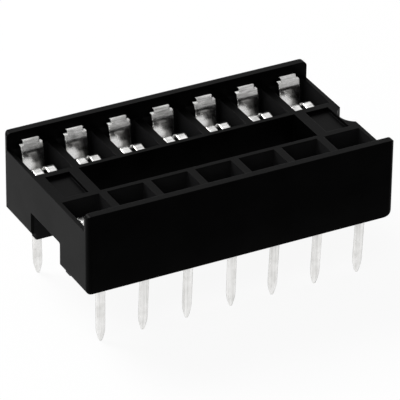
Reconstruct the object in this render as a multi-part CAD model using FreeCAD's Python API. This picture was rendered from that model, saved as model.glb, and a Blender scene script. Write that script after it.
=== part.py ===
import FreeCAD, Part
import math
import os

from FreeCAD import Vector

# A 14-way dual-in-line socket for integrated circuits: one moulded housing of ladder form and
# fourteen stamped contacts of one pattern, each a spring with two leaves and a solder tail.
# Millimetres. X runs along the rows, Y across them, Z up.
# The origin is the middle of the plane of the board, from which all heights are counted.

# Contact grid
PITCH = 2.54
ROW_SPACING = 7.62
PER_ROW = 7

# Housing, outside
END_MARGIN = 1.27
BODY_WIDTH = 9.95
UNDERSIDE = 0.41
SEAT_HEIGHT = 3.98
WALL_RISE = 0.98
SIDE_WALL = 0.42
MARKED_END_FOOT_RADIUS = 0.55
PLAIN_END_FOOT_RADIUS = 0.12
TOP_CORNER_RADIUS = 0.25
UPRIGHT_RADIUS = 0.28

# Housing, inside
CROSSBAR = 2.54
WINDOW_WIDTH = 2.54
CENTRE_WALL = 0.28
PARTITION = 0.44
CELL_FLOOR = 2.05
POCKET_FLOOR = 0.86

# Recess in the top of each crossbar
RECESS_OUTER_RIM = 0.57
RECESS_INNER_RIM = 0.60
RECESS_SIDE_RIM = 0.40
RECESS_DEPTH = 0.20

# Channel under the body, and the rail along each side of it that keeps the body off the board
CHANNEL_CEILING = 1.75
CHANNEL_WIDTH = 3.44
CHANNEL_RADIUS = 0.12
RAIL_WIDTH = 0.60
RAIL_SETBACK = 0.29
RAIL_RADIUS = 0.10

# Half-round notch in the rim of the recess that marks the end with contact 1
MARK_RADIUS = 0.96
MARK_DEPTH = 1.00
MARK_WEB = 0.05

# Contact, sheet and base
SHEET = 0.20
LEAF_WIDTH = 1.26
BASE_HEIGHT = 0.85
BASE_SPAN = 0.52
BASE_BEND = 0.20
BASE_CLEARANCE = 0.03
BASE_BLEND = 0.12

# Contact, leaves; each drop is measured down from the seat of the package
LEAD_GAP = 0.12
PINCH_DROP = 1.42
LIP_DROP = 0.58
LIP_FALL = 0.08
LIP_REACH = 0.66
LIP_LENGTH = 0.58
OUTER_KNEE_DROP = 0.85
OUTER_BEND_DROP = 0.17
OUTER_TOP_RISE = 0.49
OUTER_WALL_GAP = 0.04
OUTER_BEND_SETBACK = 0.22
OUTER_KNEE_SETBACK = 0.26
OUTER_LEAF_BEND = 0.80
INNER_LEAF_BEND = 0.25
TAB_WIDTH = 0.92
TAB_HEIGHT = 0.23
SLIT_WIDTH = 0.24
SLIT_BELOW_PINCH = 0.30

# Contact, solder tail
TAIL_WIDTH = 0.46
TAIL_EDGE = 0.20
TAIL_CREST = 0.30
TAIL_LENGTH = 3.29
TAIL_POINT = 0.95
TAIL_TIP = 0.12
TAIL_CLEARANCE = 0.11
TAIL_RELIEF = 0.06
JOG_HEIGHT = 0.50

# How far each tail of the near row leans towards -X, from -X to +X, in degrees
NEAR_ROW_LEANS = (0.0, 2.0, 1.8, 1.0, 2.5, 2.4, 2.3)

# How far the tails of the far row lean towards the near row, in degrees
FAR_ROW_LEAN = 2.6

# Places that follow from the sizes above
BODY_LENGTH = (PER_ROW - 1) * PITCH + 2 * END_MARGIN
HALF_LENGTH = BODY_LENGTH / 2
HALF_WIDTH = BODY_WIDTH / 2
WALL_TOP = SEAT_HEIGHT + WALL_RISE
CELL_LENGTH = PITCH - PARTITION
ROW_Y = ROW_SPACING / 2
CELL_OUTER = HALF_WIDTH - SIDE_WALL
CELL_INNER = WINDOW_WIDTH / 2 + CENTRE_WALL
WINDOW_END = HALF_LENGTH - CROSSBAR
TAIL_ROOT = POCKET_FLOOR + 0.1
FIRST_X = -(PER_ROW - 1) * PITCH / 2
OVERSHOOT = 1.0


def block(x0, x1, y0, y1, z0, z1):
    return Part.makeBox(x1 - x0, y1 - y0, z1 - z0, Vector(x0, y0, z0))


def polygon(points):
    """A flat face with straight sides."""
    return Part.Face(Part.makePolygon(points + [points[0]]))


def bent_strip(points, radius, thickness, normal):
    """The section of a sheet that follows a line of points, with a round bend at each corner.

    normal is the direction along which the section is extruded later.
    """
    half = thickness / 2
    first = normal.cross(points[1] - points[0]).normalize()
    starts = {side: points[0] + first * (side * half) for side in (-1, 1)}
    reached = dict(starts)
    edges = []
    for before, corner, after in zip(points, points[1:], points[2:]):
        heading_in = (corner - before).normalize()
        heading_out = (after - corner).normalize()
        side_in = normal.cross(heading_in).normalize()
        side_out = normal.cross(heading_out).normalize()
        setback = radius * math.tan(heading_in.getAngle(heading_out) / 2)
        turn = 1 if normal.dot(heading_in.cross(heading_out)) > 0 else -1
        centre = corner - heading_in * setback + side_in * (turn * radius)
        outward = (corner - centre).normalize()
        for side in (-1, 1):
            bend_start = corner - heading_in * setback + side_in * (side * half)
            bend_end = corner + heading_out * setback + side_out * (side * half)
            bend_middle = centre + outward * (radius - turn * side * half)
            edges.append(Part.makeLine(reached[side], bend_start))
            edges.append(Part.Arc(bend_start, bend_middle, bend_end).toShape())
            reached[side] = bend_end
    last = normal.cross(points[-1] - points[-2]).normalize()
    ends = {side: points[-1] + last * (side * half) for side in (-1, 1)}
    for side in (-1, 1):
        edges.append(Part.makeLine(reached[side], ends[side]))
    edges.append(Part.makeLine(ends[-1], ends[1]))
    edges.append(Part.makeLine(starts[-1], starts[1]))
    return Part.Face(Part.Wire(Part.__sortEdges__(edges)))


def rounded_profile(corners, radii):
    """A flat face through the corners, each rounded by its own radius, in order round the face."""
    edges = []
    starts, ends = [], []
    count = len(corners)
    for i in range(count):
        to_before = (corners[i - 1] - corners[i]).normalize()
        to_after = (corners[(i + 1) % count] - corners[i]).normalize()
        opening = to_before.getAngle(to_after)
        setback = radii[i] / math.tan(opening / 2)
        starts.append(corners[i] + to_before * setback)
        ends.append(corners[i] + to_after * setback)
        if radii[i] > 0:
            bisector = (to_before + to_after).normalize()
            centre = corners[i] + bisector * (radii[i] / math.sin(opening / 2))
            edges.append(Part.Arc(starts[i], centre - bisector * radii[i], ends[i]).toShape())
    for i in range(count):
        edges.append(Part.makeLine(ends[i], starts[(i + 1) % count]))
    return Part.Face(Part.Wire(Part.__sortEdges__(edges)))


def across(shape, x, y):
    """A copy of a shape that was made for the +Y row, placed at a grid position of either row."""
    placed = shape.copy()
    if y < 0:
        placed.rotate(Vector(0, 0, 0), Vector(0, 0, 1), 180)
    placed.translate(Vector(x, 0, 0))
    return placed


def end_view():
    """Section of the body across the rows: a floor with a wall along each side."""
    return polygon([
        Vector(-HALF_LENGTH, -HALF_WIDTH, UNDERSIDE), Vector(-HALF_LENGTH, HALF_WIDTH, UNDERSIDE),
        Vector(-HALF_LENGTH, HALF_WIDTH, WALL_TOP), Vector(-HALF_LENGTH, CELL_OUTER, WALL_TOP),
        Vector(-HALF_LENGTH, CELL_OUTER, SEAT_HEIGHT), Vector(-HALF_LENGTH, -CELL_OUTER, SEAT_HEIGHT),
        Vector(-HALF_LENGTH, -CELL_OUTER, WALL_TOP), Vector(-HALF_LENGTH, -HALF_WIDTH, WALL_TOP)])


def plan_view(x, y0, y1, z, radius):
    """A rectangle from -x to x and y0 to y1 with rounded corners."""
    return rounded_profile([Vector(-x, y0, z), Vector(x, y0, z), Vector(x, y1, z), Vector(-x, y1, z)],
                           [radius] * 4)


def body_blank():
    """The body without its openings: three views, each extruded, and what they share."""
    body = end_view().extrude(Vector(BODY_LENGTH, 0, 0))
    side_view = rounded_profile(
        [Vector(-HALF_LENGTH, -HALF_WIDTH, UNDERSIDE), Vector(HALF_LENGTH, -HALF_WIDTH, UNDERSIDE),
         Vector(HALF_LENGTH, -HALF_WIDTH, WALL_TOP), Vector(-HALF_LENGTH, -HALF_WIDTH, WALL_TOP)],
        [PLAIN_END_FOOT_RADIUS, MARKED_END_FOOT_RADIUS, TOP_CORNER_RADIUS, TOP_CORNER_RADIUS])
    body = body.common(side_view.extrude(Vector(0, BODY_WIDTH, 0)))
    outline = plan_view(HALF_LENGTH, -HALF_WIDTH, HALF_WIDTH, UNDERSIDE, UPRIGHT_RADIUS)
    return body.common(outline.extrude(Vector(0, 0, WALL_TOP - UNDERSIDE)))


def contact_cavity():
    """What one contact takes out of the housing, drawn for the +Y row at X = 0."""
    cell = block(-CELL_LENGTH / 2, CELL_LENGTH / 2, CELL_INNER, CELL_OUTER,
                 CELL_FLOOR, WALL_TOP)
    half_pocket = LEAF_WIDTH / 2 + BASE_CLEARANCE
    half_span = (BASE_SPAN + SHEET) / 2 + BASE_CLEARANCE
    pocket = block(-half_pocket, half_pocket, ROW_Y - half_span, ROW_Y + half_span,
                   POCKET_FLOOR, CELL_FLOOR)
    half_slot = TAIL_WIDTH / 2 + TAIL_CLEARANCE
    half_depth = TAIL_CREST / 2 + TAIL_CLEARANCE
    slot = block(-half_slot, half_slot, ROW_Y - half_depth, ROW_Y + half_depth,
                 -OVERSHOOT, POCKET_FLOOR)
    return cell.fuse(pocket).fuse(slot)


def recess(side):
    """The shallow recess in the top of one crossbar; side is -1 or 1."""
    x0, x1 = sorted((side * (WINDOW_END + RECESS_INNER_RIM), side * (HALF_LENGTH - RECESS_OUTER_RIM)))
    half = CELL_INNER - RECESS_SIDE_RIM
    return block(x0, x1, -half, half, SEAT_HEIGHT - RECESS_DEPTH, WALL_TOP)


def polarity_mark():
    """A half-round notch from the +X end face, which stops just short of the recess."""
    deepest = HALF_LENGTH - RECESS_OUTER_RIM + MARK_WEB
    return Part.makeCylinder(MARK_RADIUS, MARK_DEPTH + OVERSHOOT,
                             Vector(deepest + MARK_RADIUS, 0, SEAT_HEIGHT - MARK_DEPTH))


def channel():
    """The channel under the body, open at both ends."""
    half = CHANNEL_WIDTH / 2
    profile = rounded_profile(
        [Vector(-HALF_LENGTH, -half, UNDERSIDE), Vector(-HALF_LENGTH, half, UNDERSIDE),
         Vector(-HALF_LENGTH, half, CHANNEL_CEILING), Vector(-HALF_LENGTH, -half, CHANNEL_CEILING)],
        [0, 0, CHANNEL_RADIUS, CHANNEL_RADIUS])
    return profile.extrude(Vector(BODY_LENGTH, 0, 0))


def rail(side):
    """One rail that stands on the board, flush with the channel; side is -1 or 1."""
    y0, y1 = sorted((side * CHANNEL_WIDTH / 2, side * (CHANNEL_WIDTH / 2 + RAIL_WIDTH)))
    outline = plan_view(HALF_LENGTH - RAIL_SETBACK, y0, y1, 0, RAIL_RADIUS)
    return outline.extrude(Vector(0, 0, UNDERSIDE))


def housing():
    window = block(-WINDOW_END, WINDOW_END, -WINDOW_WIDTH / 2, WINDOW_WIDTH / 2,
                   CHANNEL_CEILING - CHANNEL_RADIUS, WALL_TOP)
    cuts = [window, channel(), recess(-1), recess(1), polarity_mark()]
    cavity = contact_cavity()
    for x, y in grid():
        cuts.append(across(cavity, x, y))
    return body_blank().cut(cuts).fuse([rail(-1), rail(1)]).removeSplitter()


def grid():
    """Contact places, numbered from the marked end, down the +Y row and back up the -Y row."""
    places = []
    for i in range(PER_ROW):
        places.append((-FIRST_X - i * PITCH, ROW_Y))
    for i in range(PER_ROW):
        places.append((FIRST_X + i * PITCH, -ROW_Y))
    return places


def contact_base():
    """The channel that stands in the pocket: two plates joined down one side."""
    half = BASE_SPAN / 2
    far = LEAF_WIDTH / 2
    near = -(LEAF_WIDTH - SHEET) / 2
    line = [Vector(far, ROW_Y + half, POCKET_FLOOR), Vector(near, ROW_Y + half, POCKET_FLOOR),
            Vector(near, ROW_Y - half, POCKET_FLOOR), Vector(far, ROW_Y - half, POCKET_FLOOR)]
    wall = bent_strip(line, BASE_BEND, SHEET, Vector(0, 0, 1))
    wall = wall.extrude(Vector(0, 0, BASE_HEIGHT))
    half_relief = TAIL_WIDTH / 2 + TAIL_RELIEF
    relief = block(-half_relief, half_relief, ROW_Y, ROW_Y + BASE_SPAN + SHEET,
                   POCKET_FLOOR - OVERSHOOT, POCKET_FLOOR + JOG_HEIGHT)
    return wall.cut(relief)


def leaf(line, bend):
    """A leaf of full width whose section follows a line in the YZ plane, with round bends."""
    section = bent_strip(line, bend, SHEET, Vector(1, 0, 0))
    section.translate(Vector(-LEAF_WIDTH / 2, 0, 0))
    return section.extrude(Vector(LEAF_WIDTH, 0, 0))


def outer_leaf():
    """The tall leaf, which leans on the side wall and ends in a narrower tab."""
    base_top = POCKET_FLOOR + BASE_HEIGHT
    plate = ROW_Y + BASE_SPAN / 2
    top = CELL_OUTER - OUTER_WALL_GAP - SHEET / 2
    line = [Vector(0, plate, base_top - BASE_BLEND), Vector(0, plate, base_top + BASE_BLEND),
            Vector(0, ROW_Y + (LEAD_GAP + SHEET) / 2, SEAT_HEIGHT - PINCH_DROP),
            Vector(0, top - OUTER_KNEE_SETBACK, SEAT_HEIGHT - OUTER_KNEE_DROP),
            Vector(0, top - OUTER_BEND_SETBACK, SEAT_HEIGHT - OUTER_BEND_DROP),
            Vector(0, top, SEAT_HEIGHT + OUTER_TOP_RISE)]
    shape = leaf(line, OUTER_LEAF_BEND)
    shoulder = SEAT_HEIGHT + OUTER_TOP_RISE - TAB_HEIGHT
    for side in (-1, 1):
        x0, x1 = sorted((side * TAB_WIDTH / 2, side * LEAF_WIDTH))
        shape = shape.cut(block(x0, x1, ROW_Y, HALF_WIDTH, shoulder, WALL_TOP))
    return shape


def inner_leaf():
    """The short leaf: two prongs that pinch the lead and turn over into lips."""
    base_top = POCKET_FLOOR + BASE_HEIGHT
    plate = ROW_Y - BASE_SPAN / 2
    pinch = ROW_Y - (LEAD_GAP + SHEET) / 2
    lip = pinch - LIP_REACH
    lip_height = SEAT_HEIGHT - LIP_DROP
    slit_bottom = SEAT_HEIGHT - PINCH_DROP - SLIT_BELOW_PINCH
    line = [Vector(0, plate, base_top - BASE_BLEND), Vector(0, plate, base_top + BASE_BLEND),
            Vector(0, pinch, SEAT_HEIGHT - PINCH_DROP), Vector(0, lip, lip_height),
            Vector(0, lip - LIP_LENGTH, lip_height - LIP_FALL)]
    shape = leaf(line, INNER_LEAF_BEND)
    slit = block(-SLIT_WIDTH / 2, SLIT_WIDTH / 2, 0, ROW_Y, slit_bottom, WALL_TOP)
    return shape.cut(slit)


def bullet():
    """The front view of a tail: straight, then drawn in by an arc on each side to a blunt tip."""
    half = TAIL_WIDTH / 2
    tip = TAIL_TIP / 2
    shoulder = -TAIL_LENGTH + TAIL_POINT
    radius = (TAIL_POINT ** 2 + (half - tip) ** 2) / (2 * (half - tip))
    rise = TAIL_POINT / 2
    middle = half - (radius - math.sqrt(radius ** 2 - rise ** 2))
    sides = []
    for sign in (-1, 1):
        sides.append([Vector(sign * half, 0, TAIL_ROOT), Vector(sign * half, 0, shoulder),
                      Vector(sign * middle, 0, shoulder - rise), Vector(sign * tip, 0, -TAIL_LENGTH)])
    edges = []
    for top, low, curve, end in sides:
        edges.append(Part.makeLine(top, low))
        edges.append(Part.Arc(low, curve, end).toShape())
    edges.append(Part.makeLine(sides[0][0], sides[1][0]))
    edges.append(Part.makeLine(sides[0][3], sides[1][3]))
    return Part.Face(Part.Wire(Part.__sortEdges__(edges)))


def solder_tail(lean_x, lean_y):
    """A six-sided tail, coined to a low ridge on both faces, which runs out to a point."""
    half = TAIL_WIDTH / 2
    section = polygon([
        Vector(-half, -TAIL_EDGE / 2, -TAIL_LENGTH), Vector(0, -TAIL_CREST / 2, -TAIL_LENGTH),
        Vector(half, -TAIL_EDGE / 2, -TAIL_LENGTH), Vector(half, TAIL_EDGE / 2, -TAIL_LENGTH),
        Vector(0, TAIL_CREST / 2, -TAIL_LENGTH), Vector(-half, TAIL_EDGE / 2, -TAIL_LENGTH)])
    tail = section.extrude(Vector(0, 0, TAIL_LENGTH + TAIL_ROOT))
    front = bullet()
    front.translate(Vector(0, -TAIL_CREST, 0))
    tail = tail.common(front.extrude(Vector(0, 2 * TAIL_CREST, 0)))
    shoulder = -TAIL_LENGTH + TAIL_POINT
    side = polygon([
        Vector(-TAIL_WIDTH, -TAIL_CREST / 2, TAIL_ROOT),
        Vector(-TAIL_WIDTH, -TAIL_CREST / 2, shoulder), Vector(-TAIL_WIDTH, -TAIL_TIP / 2, -TAIL_LENGTH),
        Vector(-TAIL_WIDTH, TAIL_TIP / 2, -TAIL_LENGTH), Vector(-TAIL_WIDTH, TAIL_CREST / 2, shoulder),
        Vector(-TAIL_WIDTH, TAIL_CREST / 2, TAIL_ROOT)])
    tail = tail.common(side.extrude(Vector(2 * TAIL_WIDTH, 0, 0)))
    pivot = Vector(0, 0, UNDERSIDE)
    tail.rotate(pivot, Vector(0, 1, 0), lean_x)
    tail.rotate(pivot, Vector(1, 0, 0), -lean_y)
    tail.translate(Vector(0, ROW_Y, 0))
    return tail


def tail_jog():
    """The strip between the outer plate of the base and the tail, which stands on the row line."""
    plate = ROW_Y + BASE_SPAN / 2
    jog_top = POCKET_FLOOR + JOG_HEIGHT
    line = [Vector(0, plate, jog_top + BASE_BLEND), Vector(0, plate, jog_top),
            Vector(0, ROW_Y, POCKET_FLOOR + BASE_BLEND), Vector(0, ROW_Y, POCKET_FLOOR - BASE_BLEND)]
    section = bent_strip(line, SHEET / 2 + 0.05, SHEET, Vector(1, 0, 0))
    section.translate(Vector(-TAIL_WIDTH / 2, 0, 0))
    return section.extrude(Vector(TAIL_WIDTH, 0, 0))


def contact(lean_x, lean_y):
    """One contact for the +Y row at X = 0, in one piece.

    lean_x turns the tip of the tail towards -X, and lean_y turns it towards -Y.
    """
    parts = [outer_leaf(), inner_leaf(), tail_jog(), solder_tail(lean_x, lean_y)]
    return contact_base().fuse(parts).removeSplitter()


def write(shape, name):
    solids = shape.Solids
    if len(solids) != 1 or not shape.isValid():
        raise RuntimeError(f"{name}: {len(solids)} solids, valid {shape.isValid()}")
    solids[0].exportStep(os.path.join("parts", name + ".step"))
    print(name, "volume", round(solids[0].Volume, 4), "faces", len(solids[0].Faces))


def main():
    os.makedirs("parts", exist_ok=True)
    write(housing(), "housing")
    leans = [(0.0, FAR_ROW_LEAN)] * PER_ROW + [(-lean, 0.0) for lean in NEAR_ROW_LEANS]
    for number, ((x, y), (lean_x, lean_y)) in enumerate(zip(grid(), leans), start=1):
        write(across(contact(lean_x, lean_y), x, y), f"contact_{number:02d}")


main()
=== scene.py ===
import math

import bpy
from mathutils import Matrix, Vector


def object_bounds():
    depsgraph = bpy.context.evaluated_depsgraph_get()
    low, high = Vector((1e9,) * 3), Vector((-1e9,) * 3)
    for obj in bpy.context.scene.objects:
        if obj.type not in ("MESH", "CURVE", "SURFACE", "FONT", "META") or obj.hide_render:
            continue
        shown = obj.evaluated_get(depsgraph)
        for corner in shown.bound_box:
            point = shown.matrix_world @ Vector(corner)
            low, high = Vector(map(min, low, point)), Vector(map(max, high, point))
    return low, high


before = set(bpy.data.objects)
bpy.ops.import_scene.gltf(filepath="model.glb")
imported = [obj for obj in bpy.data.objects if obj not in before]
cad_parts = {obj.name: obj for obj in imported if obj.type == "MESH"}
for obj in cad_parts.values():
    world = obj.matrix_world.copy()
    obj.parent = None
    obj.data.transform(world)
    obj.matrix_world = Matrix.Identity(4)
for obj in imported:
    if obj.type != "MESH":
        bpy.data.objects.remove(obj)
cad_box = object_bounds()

MM = 0.001

# Camera, as fitted to the photograph: angles in radians, lengths in millimetres
CAMERA_TURN = 0.4868
CAMERA_LIFT = 0.5324
CAMERA_ROLL = 0.0119
CAMERA_ASIDE = -0.0901
CAMERA_BELOW = -0.9087
CAMERA_DISTANCE = 202.648
FOCAL_PIXELS = 3857.25
FRAME_PIXELS = 400
SENSOR = 36.0
NEAREST = 0.01
FARTHEST = 10

# Noise textures: scale, detail and, for some, roughness
GRAIN = (9000, 4.0, 0.65)
CLOUDS = (600, 3.0)
STAINS = (1500, 3.0)
STIPPLE = (60000, 0.0)
LINES_ACROSS = (4000, 3.0, 0.6)
LINES_DOWN = (3000, 3.0, 0.6)

# What noise is stretched from, because it seldom leaves this range
NOISE_RANGE = (0.3, 0.7)
STIPPLE_RANGE = (0.25, 0.75)

BUMP_DEPTH = 0.01 * MM
ROUNDING_SAMPLES = 6

# Black plastic: colour and roughness drift from the first of a pair to the second.
# The walls of the cells have pairs of their own, and their paler tones are painted light, standing in for
# light that falls into the cells.
PLASTIC_TONES = ((0.0006, 0.0006, 0.00065, 1), (0.0013, 0.0013, 0.00135, 1))
CELL_PAINTED_LIGHT_TONES = ((0.0066, 0.0066, 0.0068, 1), (0.0106, 0.0106, 0.0110, 1))
PLASTIC_ROUGHNESS = (0.30, 0.38)
CELL_ROUGHNESS = (0.66, 0.74)
PLASTIC_SPECULAR = 0.030
PLASTIC_ROUNDING = 0.05 * MM
GRAIN_STRENGTH = 0.04

# The block of space that the cells lie in, on both sides of the middle and down to the underside
CELLS_END = 8.70 * MM
CELLS_INNER = 1.50 * MM
CELLS_OUTER = 4.60 * MM
CELLS_TOP = 3.95 * MM

# Tin plate: worn and fresh colours, then the painted dark reflection and the painted highlight on the tall
# leaves
TAIL_WORN = (0.70, 0.695, 0.68, 1)
LEAF_WORN = (0.50, 0.496, 0.485, 1)
TIN_FRESH = (0.94, 0.935, 0.925, 1)
WORN_RANGE = (0.38, 0.62)
TIN_DARK_REFLECTION = (0.24, 0.2375, 0.233, 1)
TIN_PAINTED_HIGHLIGHT = (0.98, 0.975, 0.965, 1)
TIN_ROUGHNESS = (0.14, 0.26)
TIN_ROUNDING = 0.10 * MM

# Rolling lines run across the leaves and down the tails, which begin under LEAVES_FROM
LEAVES_FROM = 0.5 * MM
ACROSS_STRETCH = (0.3, 1.0, 2.5)
DOWN_STRETCH = (3.0, 3.0, 0.06)
LINE_STRENGTH = 0.02

# The cut edges on top of the leaves: how high, how level, how rough, and how far they roll inwards
CUT_ABOVE = 4.0 * MM
CUT_LEVEL = (0.90, 0.94)
CUT_ROUGHNESS = 0.30
CUT_ROLL = 0.85

# The inner face of a tall leaf: its middle, painted dark as a painted reflection, and the spot near its
# foot, painted bright as a painted highlight, its normal also turned up as if dished
PITCH = 2.54 * MM
LEAF_FROM = 3.86 * MM
LEAF_EDGE = 0.57 * MM
LEAF_FOOT = 2.20 * MM
DARK_REFLECTION_TOP = 4.30 * MM
DARK_REFLECTION_FULL = 3.70 * MM
DARK_REFLECTION_RAGGED = 0.15 * MM
SPOT_CENTRE = (-0.42 * MM, 0.0, 3.12 * MM)
SPOT_INNER = 0.294 * MM
SPOT_OUTER = 0.714 * MM
SPOT_CLEAR = (0.42 * MM, 0.756 * MM)
SPOT_RAGGED = 0.20 * MM
SPOT_TILT = 0.5

# Reflections see the surroundings at level 1 behind and above, and darker in front of the object
TOWARDS_CAMERA = (0.47, -0.88, 0.0)
FRONT_FROM = 0.0
FRONT_FULL = 0.7
FRONT_LEVEL = 0.66
FLOOR_FRONT_LEVEL = 0.12
FLOOR_DARK_FROM = -11.0 * MM
FLOOR_LIGHT_FROM = -9.0 * MM

WHITE = (1, 1, 1, 1)
WORLD_LIGHT = 0.35
FLOOR_TONE = (0.85, 0.85, 0.85, 1)
FLOOR_SHARE = 0.92
FLOOR_SIZE = 1.2
FLOOR_GAP = 0.01 * MM

# Lamps: name, turn from -Y towards +X, lift (both in degrees), distance, side (both in metres), watts
LAMPS = (("key", -150, 48, 0.30, 0.16, 0.9), ("fill", -60, 35, 0.35, 0.20, 0.3))


def add_camera():
    forward = Vector((math.sin(CAMERA_TURN) * math.cos(CAMERA_LIFT),
                      math.cos(CAMERA_TURN) * math.cos(CAMERA_LIFT), -math.sin(CAMERA_LIFT)))
    level = Vector((math.cos(CAMERA_TURN), -math.sin(CAMERA_TURN), 0))
    upright = level.cross(forward)
    right = level * math.cos(CAMERA_ROLL) + upright * math.sin(CAMERA_ROLL)
    up = upright * math.cos(CAMERA_ROLL) - level * math.sin(CAMERA_ROLL)
    place = -(right * CAMERA_ASIDE + up * CAMERA_BELOW + forward * CAMERA_DISTANCE) * MM
    data = bpy.data.cameras.new("camera")
    data.sensor_width = SENSOR
    data.lens = FOCAL_PIXELS / FRAME_PIXELS * SENSOR
    data.clip_start = NEAREST
    data.clip_end = FARTHEST
    camera = bpy.data.objects.new("camera", data)
    turn = Matrix((right, up, -forward)).transposed().to_4x4()
    camera.matrix_world = Matrix.Translation(place) @ turn
    bpy.context.scene.collection.objects.link(camera)
    bpy.context.scene.camera = camera


class Nodes:
    """A short way to build a node tree."""

    def __init__(self, tree):
        self.tree = tree
        tree.nodes.clear()

    def add(self, kind, inputs=None, **settings):
        node = self.tree.nodes.new(kind)
        for key, value in settings.items():
            setattr(node, key, value)
        for key, value in (inputs or {}).items():
            if isinstance(value, bpy.types.NodeSocket):
                self.tree.links.new(value, node.inputs[key])
            else:
                node.inputs[key].default_value = value
        return node

    def math(self, operation, *values):
        return self.add("ShaderNodeMath", dict(enumerate(values)), operation=operation).outputs[0]

    def every(self, *masks):
        """1 where all of the masks are 1."""
        result = masks[0]
        for mask in masks[1:]:
            result = self.math("MULTIPLY", result, mask)
        return result

    def split(self, vector):
        return self.add("ShaderNodeSeparateXYZ", {"Vector": vector}).outputs

    def join(self, **parts):
        return self.add("ShaderNodeCombineXYZ", parts).outputs["Vector"]

    def noise(self, vector, scale, detail, roughness=0.5):
        return self.add("ShaderNodeTexNoise", {"Vector": vector, "Scale": scale, "Detail": detail,
                                               "Roughness": roughness}).outputs["Fac"]

    def fade(self, value, start, end, level=(0.0, 1.0)):
        """The first level at start and the second at end, with a soft step between."""
        if start > end:
            start, end, level = end, start, level[::-1]
        return self.add("ShaderNodeMapRange", {"Value": value, "From Min": start, "From Max": end,
                                               "To Min": level[0], "To Max": level[1]},
                        interpolation_type="SMOOTHSTEP").outputs["Result"]

    def stretch(self, value, source, target):
        """Map one range to another in a straight line, and clamp it there."""
        return self.add("ShaderNodeMapRange", {"Value": value, "From Min": source[0], "From Max": source[1],
                                               "To Min": target[0], "To Max": target[1]}).outputs["Result"]

    def blend(self, factor, one, other):
        """A number between two numbers."""
        return self.add("ShaderNodeMix", {"Factor": factor, "A": one, "B": other}).outputs["Result"]

    def mix(self, factor, one, other):
        """A colour between two colours."""
        return self.add("ShaderNodeMix", {"Factor": factor, "A": one, "B": other},
                        data_type="RGBA").outputs["Result"]

    def rounded(self, radius):
        """The surface's normal, turned near edges as if they were rounded."""
        return self.add("ShaderNodeBevel", {"Radius": radius}, samples=ROUNDING_SAMPLES).outputs["Normal"]

    def bumped(self, height, strength, normal):
        return self.add("ShaderNodeBump", {"Height": height, "Strength": strength, "Distance": BUMP_DEPTH,
                                           "Normal": normal}).outputs["Normal"]


def new_material(name):
    material = bpy.data.materials.new(name)
    material.use_nodes = True
    return material, Nodes(material.node_tree)


def inside_cells(n, place):
    """1 on the walls of the contact cells and on the underside below them, 0 on the rest of the housing."""
    parts = n.split(place)
    along = n.math("ABSOLUTE", parts["X"])
    across = n.math("ABSOLUTE", parts["Y"])
    return n.every(n.math("LESS_THAN", along, CELLS_END), n.math("GREATER_THAN", across, CELLS_INNER),
                   n.math("LESS_THAN", across, CELLS_OUTER), n.math("LESS_THAN", parts["Z"], CELLS_TOP))


def black_plastic():
    """Satin black moulding: a fine spark-eroded skin, faint cloudy changes of gloss, and duller cell walls
    with a paler painted-light tone.
    """
    material, n = new_material("black_plastic")
    place = n.add("ShaderNodeTexCoord").outputs["Object"]
    grain = n.noise(place, *GRAIN)
    cloud = n.noise(place, *CLOUDS)
    cells = inside_cells(n, place)
    # The cell walls get a paler tone: painted light, standing in for light that falls into the cells.
    tone = n.mix(cells, n.mix(cloud, *PLASTIC_TONES), n.mix(cloud, *CELL_PAINTED_LIGHT_TONES))
    roughness = n.blend(cells, n.stretch(cloud, NOISE_RANGE, PLASTIC_ROUGHNESS),
                        n.stretch(cloud, NOISE_RANGE, CELL_ROUGHNESS))
    shader = n.add("ShaderNodeBsdfPrincipled", {
        "Base Color": tone, "Roughness": roughness, "Specular IOR Level": PLASTIC_SPECULAR,
        "Normal": n.bumped(grain, GRAIN_STRENGTH, n.rounded(PLASTIC_ROUNDING))})
    n.add("ShaderNodeOutputMaterial", {"Surface": shader.outputs["BSDF"]})
    return material


def painted_leaf_reflections(n, parts, stain):
    """Two masks on the inner face of each tall leaf: its middle, painted dark as a painted reflection, and
    the spot near its foot, painted bright as a painted highlight.
    """
    beside = n.math("MULTIPLY", n.math("WRAP", parts["X"], PITCH / 2, -PITCH / 2),
                    n.math("SIGN", parts["Y"]))
    on_leaf = n.every(n.math("GREATER_THAN", n.math("ABSOLUTE", parts["Y"]), LEAF_FROM),
                      n.math("LESS_THAN", n.math("ABSOLUTE", beside), LEAF_EDGE),
                      n.math("GREATER_THAN", parts["Z"], LEAF_FOOT))
    height = n.math("MULTIPLY_ADD", stain, DARK_REFLECTION_RAGGED, parts["Z"])
    away = n.add("ShaderNodeVectorMath", {0: n.join(X=beside, Z=parts["Z"]), 1: SPOT_CENTRE},
                 operation="DISTANCE").outputs["Value"]
    away = n.math("MULTIPLY_ADD", stain, SPOT_RAGGED, away)
    dark_reflection = n.every(n.fade(height, DARK_REFLECTION_TOP, DARK_REFLECTION_FULL), n.fade(away, *SPOT_CLEAR), on_leaf)
    return dark_reflection, n.every(n.fade(away, SPOT_OUTER, SPOT_INNER), on_leaf)


def leaf_tilt(n, place, side, cut, spot):
    """What is added to the normal: cut edges roll inwards, and the spot turns up in fine stipples."""
    limit = n.stretch(spot, (0.0, 1.0), STIPPLE_RANGE)
    pressed = n.math("LESS_THAN", n.noise(place, *STIPPLE), limit)
    inwards = n.math("MULTIPLY", n.every(n.math("SIGN", side), cut), -CUT_ROLL)
    return n.join(Y=inwards, Z=n.math("MULTIPLY", pressed, SPOT_TILT))


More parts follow.
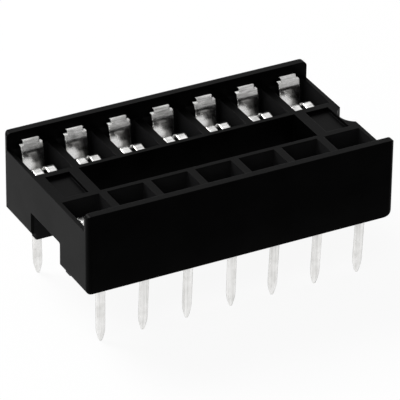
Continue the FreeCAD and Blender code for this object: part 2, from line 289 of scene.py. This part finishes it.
def tin_plate():
    """Bright tin over stamped bronze: lines across the leaves and down the tails, rolled cut edges."""
    material, n = new_material("tin_plate")
    place = n.add("ShaderNodeTexCoord").outputs["Object"]
    parts = n.split(place)
    leaves = n.math("GREATER_THAN", parts["Z"], LEAVES_FROM)
    across = n.add("ShaderNodeMapping", {"Vector": place, "Scale": ACROSS_STRETCH}).outputs["Vector"]
    down = n.add("ShaderNodeMapping", {"Vector": place, "Scale": DOWN_STRETCH}).outputs["Vector"]
    lines = n.blend(leaves, n.noise(down, *LINES_DOWN), n.noise(across, *LINES_ACROSS))
    stain = n.noise(place, *STAINS)
    dark_reflection, spot = painted_leaf_reflections(n, parts, stain)
    fresh = n.stretch(n.math("MULTIPLY", n.math("ADD", lines, stain), 0.5), WORN_RANGE, (0.0, 1.0))
    tone = n.mix(fresh, n.mix(leaves, TAIL_WORN, LEAF_WORN), TIN_FRESH)
    # Painted dark reflection on the middle of each tall leaf, and a painted highlight on the spot near its
    # foot.
    tone = n.mix(spot, n.mix(dark_reflection, tone, TIN_DARK_REFLECTION), TIN_PAINTED_HIGHLIGHT)

    facing = n.split(n.add("ShaderNodeNewGeometry").outputs["Normal"])["Z"]
    cut = n.every(n.stretch(facing, CUT_LEVEL, (0.0, 1.0)), n.math("GREATER_THAN", parts["Z"], CUT_ABOVE))
    roughness = n.blend(cut, n.stretch(stain, NOISE_RANGE, TIN_ROUGHNESS), CUT_ROUGHNESS)
    normal = n.bumped(lines, n.math("MULTIPLY", leaves, LINE_STRENGTH), n.rounded(TIN_ROUNDING))
    normal = n.add("ShaderNodeVectorMath", {0: normal, 1: leaf_tilt(n, place, parts["Y"], cut, spot)},
                   operation="ADD").outputs["Vector"]
    normal = n.add("ShaderNodeVectorMath", {0: normal}, operation="NORMALIZE").outputs["Vector"]
    shader = n.add("ShaderNodeBsdfPrincipled", {"Base Color": tone, "Metallic": 1.0,
                                                "Roughness": roughness, "Normal": normal})
    n.add("ShaderNodeOutputMaterial", {"Surface": shader.outputs["BSDF"]})
    return material


def camera_ray(n):
    return n.add("ShaderNodeLightPath").outputs["Is Camera Ray"]


def background_ray(n):
    """1 for rays from the camera and for reflections, 0 for the rays that carry light."""
    path = n.add("ShaderNodeLightPath").outputs
    seen = n.math("MAXIMUM", path["Is Camera Ray"], path["Is Glossy Ray"])
    return n.math("MAXIMUM", seen, path["Is Transmission Ray"])


def add_world():
    """Plain light all round, and a white that reflections see darker towards the camera's side."""
    world = bpy.data.worlds.new("world")
    bpy.context.scene.world = world
    world.use_nodes = True
    n = Nodes(world.node_tree)
    way = n.add("ShaderNodeTexCoord").outputs["Generated"]
    ahead = n.add("ShaderNodeVectorMath", {0: way, 1: TOWARDS_CAMERA}, operation="DOT_PRODUCT")
    level = n.fade(ahead.outputs["Value"], FRONT_FROM, FRONT_FULL, (1.0, FRONT_LEVEL))
    level = n.math("MAXIMUM", level, camera_ray(n))
    light = n.add("ShaderNodeBackground", {"Color": WHITE, "Strength": WORLD_LIGHT})
    shown = n.add("ShaderNodeBackground", {"Color": WHITE, "Strength": level})
    both = n.add("ShaderNodeMixShader", {0: background_ray(n), 1: light.outputs[0], 2: shown.outputs[0]})
    n.add("ShaderNodeOutputWorld", {"Surface": both.outputs[0]})


def pale_floor():
    """White to the camera, darker to reflections in front of the object, with the object's shadow."""
    material, n = new_material("floor")
    ahead = n.split(n.add("ShaderNodeNewGeometry").outputs["Position"])["Y"]
    level = n.fade(ahead, FLOOR_DARK_FROM, FLOOR_LIGHT_FROM, (FLOOR_FRONT_LEVEL, 1.0))
    level = n.math("MAXIMUM", level, camera_ray(n))
    plain = n.add("ShaderNodeBsdfDiffuse", {"Color": FLOOR_TONE})
    shown = n.add("ShaderNodeEmission", {"Color": WHITE, "Strength": level})
    share = n.math("MULTIPLY", background_ray(n), FLOOR_SHARE)
    both = n.add("ShaderNodeMixShader", {0: share, 1: plain.outputs[0], 2: shown.outputs[0]})
    n.add("ShaderNodeOutputMaterial", {"Surface": both.outputs[0]})
    return material


def add_floor(height):
    mesh = bpy.data.meshes.new("floor")
    half = FLOOR_SIZE / 2
    corners = [(-half, -half, height), (half, -half, height), (half, half, height), (-half, half, height)]
    mesh.from_pydata(corners, [], [(0, 1, 2, 3)])
    mesh.materials.append(pale_floor())
    floor = bpy.data.objects.new("floor", mesh)
    bpy.context.scene.collection.objects.link(floor)


def add_lamp(name, turn, lift, distance, side, power):
    """A square soft lamp that faces the object."""
    turn = math.radians(turn)
    lift = math.radians(lift)
    away = Vector((math.sin(turn) * math.cos(lift), -math.cos(turn) * math.cos(lift), math.sin(lift)))
    data = bpy.data.lights.new(name, "AREA")
    data.size = side
    data.energy = power
    lamp = bpy.data.objects.new(name, data)
    lamp.location = away * distance
    lamp.rotation_mode = "QUATERNION"
    lamp.rotation_quaternion = away.to_track_quat("Z", "Y")
    bpy.context.scene.collection.objects.link(lamp)


def dress():
    plastic = black_plastic()
    metal = tin_plate()
    for name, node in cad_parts.items():
        for slot in node.material_slots:
            slot.material = plastic if name == "housing" else metal


bpy.context.scene.view_settings.view_transform = "Standard"
dress()
add_camera()
add_world()
add_floor(cad_box[0][2] - FLOOR_GAP)
for lamp in LAMPS:
    add_lamp(*lamp)
